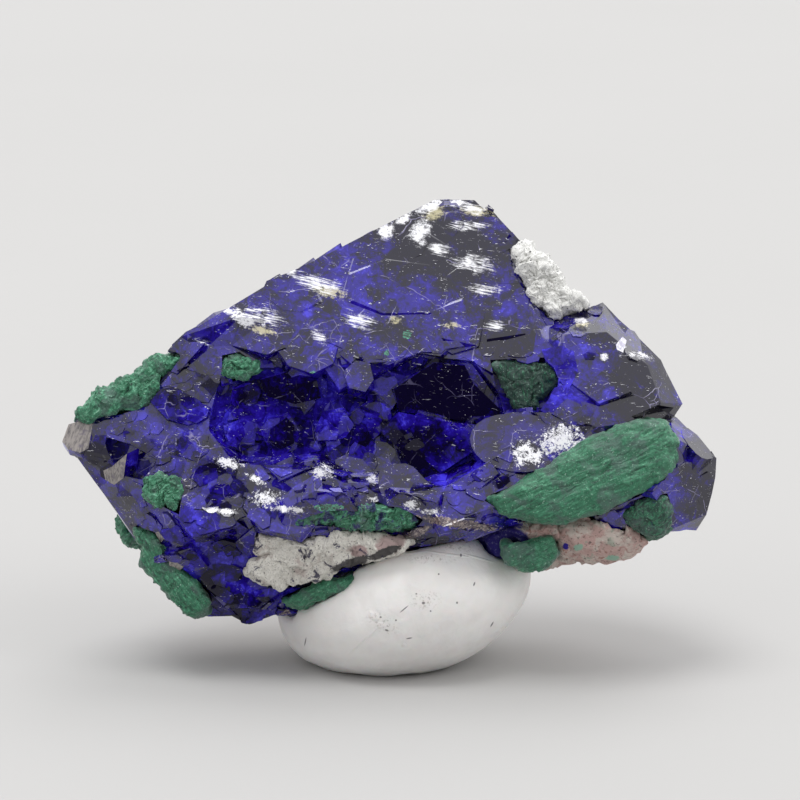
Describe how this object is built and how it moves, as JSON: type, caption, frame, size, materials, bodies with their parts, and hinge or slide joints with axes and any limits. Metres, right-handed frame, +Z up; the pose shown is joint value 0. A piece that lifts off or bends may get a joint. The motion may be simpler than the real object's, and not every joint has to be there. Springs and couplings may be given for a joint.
{
  "type": "azurite specimen",
  "caption": "Thick tabular cluster of deep blue azurite crystals with green malachite crusts and pale clay seams, leaning back in a white putty ball.",
  "frame": {"origin": "centre of the bounding box at its base, on the surface that the putty stands on", "axes": "+X to the viewer's right along the specimen's length, -Y towards the viewer of the display face, +Z up"},
  "size_m": [0.0518, 0.0222, 0.0363],
  "materials": {
    "azurite": "glassy to adamantine, deep royal blue to blue-black, with fine growth lines",
    "malachite": "silky to velvety fibrous green crust",
    "clay": "dull granular pale clay with dark specks",
    "matrix": "rough crumbly pinkish brown rock",
    "putty": "smooth soft white putty with a faint sheen"
  },
  "bodies": {
    "root": {"azurite_crystals": "azurite", "malachite_fan": "malachite", "malachite_crest": "malachite", "malachite_pocket": "malachite", "malachite_upper_speck": "malachite", "malachite_lower_speck": "malachite", "malachite_ribbon": "malachite", "malachite_knob": "malachite", "malachite_seam": "malachite", "malachite_keel": "malachite", "malachite_foot": "malachite", "malachite_cushion": "malachite", "malachite_back": "malachite", "clay_seam": "clay", "clay_crest": "clay", "matrix_rock": "matrix", "putty_support": "putty"}
  },
  "joints": []
}
